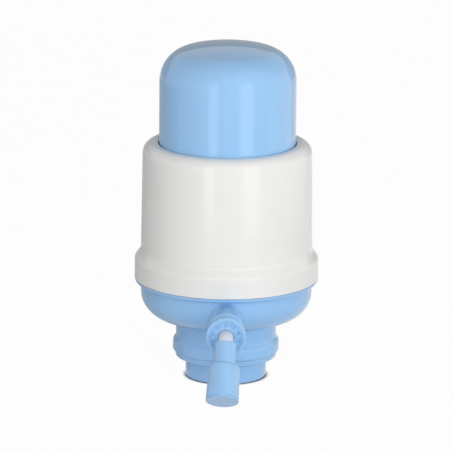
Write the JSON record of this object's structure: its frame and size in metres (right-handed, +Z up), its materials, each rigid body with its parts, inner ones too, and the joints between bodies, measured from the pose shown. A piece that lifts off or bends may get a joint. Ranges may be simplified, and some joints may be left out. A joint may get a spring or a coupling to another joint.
{
  "type": "bottle hand pump",
  "caption": "Hand-pressed water pump for a bottle neck: domed push cap in a banded shell, round base bowl, swivelling spout with a dust cap.",
  "frame": {"origin": "centre of the neck adapter's mouth, where the bottle's neck enters; the pump stands on this plane", "axes": "+Z up along the pump's axis, -Y towards the spout, +X to the right seen from the spout's side"},
  "size_m": [0.1006, 0.1596, 0.1861],
  "materials": {
    "blue_plastic": "glossy injection-moulded polypropylene",
    "white_plastic": "glossy injection-moulded plastic",
    "inner_plastic": "moulded plastic",
    "bellows_rubber": "soft moulded rubber",
    "seal_rubber": "black seal rubber",
    "hose_silicone": "milky silicone",
    "spring_steel": "drawn stainless wire",
    "screw_steel": "zinc-plated steel"
  },
  "bodies": {
    "pump_body": {"body_cover": "white_plastic", "base_bowl": "blue_plastic", "spout_nut": "blue_plastic", "bellows": "bellows_rubber", "return_spring": "spring_steel", "valve_deck": "inner_plastic", "deck_seal": "seal_rubber", "bellows_clamp_ring": "inner_plastic", "clamp_screws": "screw_steel", "dip_tube_spigot": "inner_plastic", "spigot_washer": "seal_rubber", "riser_hose": "hose_silicone", "neck_gasket": "seal_rubber"},
    "plunger": {"push_cap": "blue_plastic", "bellows_top_plate": "inner_plastic"},
    "intake_flap": {"intake_valve": "seal_rubber"},
    "delivery_flap": {"delivery_valve": "seal_rubber"},
    "spout": {"spout_elbow": "inner_plastic", "spout_o_ring": "seal_rubber", "outlet_tube": "blue_plastic"},
    "dust_cap": {"spout_cap": "blue_plastic"},
    "bottle_seal": {"bottle_gasket": "seal_rubber"},
    "adapter": {"neck_adapter": "blue_plastic"}
  },
  "joints": [
    {"name": "cap_press", "type": "slide", "parent": "pump_body", "child": "plunger", "axis": [0, 0, -1], "range_m": [0, 0.04], "stiffness_N_per_m": 700, "springref_m": -0.012, "deforming": ["bellows", "return_spring"]},
    {"name": "intake_lift", "type": "slide", "parent": "plunger", "child": "intake_flap", "axis": [0, 0, -1], "range_m": [0, 0.0012], "stiffness_N_per_m": 200, "springref_m": -0.0003},
    {"name": "delivery_lift", "type": "slide", "parent": "pump_body", "child": "delivery_flap", "axis": [0, 0, -1], "range_m": [0, 0.0012], "stiffness_N_per_m": 200, "springref_m": -0.0003},
    {"name": "spout_swivel", "type": "hinge", "parent": "pump_body", "child": "spout", "pos_m": [0, -0.066, 0.042], "axis": [0, -1, 0], "continuous": true},
    {"name": "dust_cap_pull", "type": "slide", "parent": "spout", "child": "dust_cap", "axis": [-0.05, -0.5736, -0.8176], "range_m": [0, 0.009]},
    {"name": "adapter_drop", "type": "slide", "parent": "pump_body", "child": "bottle_seal", "axis": [0, 0, -1], "range_m": [0, 0.004]},
    {"name": "adapter_unscrew", "type": "hinge", "parent": "bottle_seal", "child": "adapter", "pos_m": [0, 0, 0], "axis": [0, 0, -1], "range_deg": [0, 360]}
  ],
  "couplings": [
    {"joint": "adapter_drop", "follows": "adapter_unscrew", "m_per_rad": 0.00063662}
  ]
}
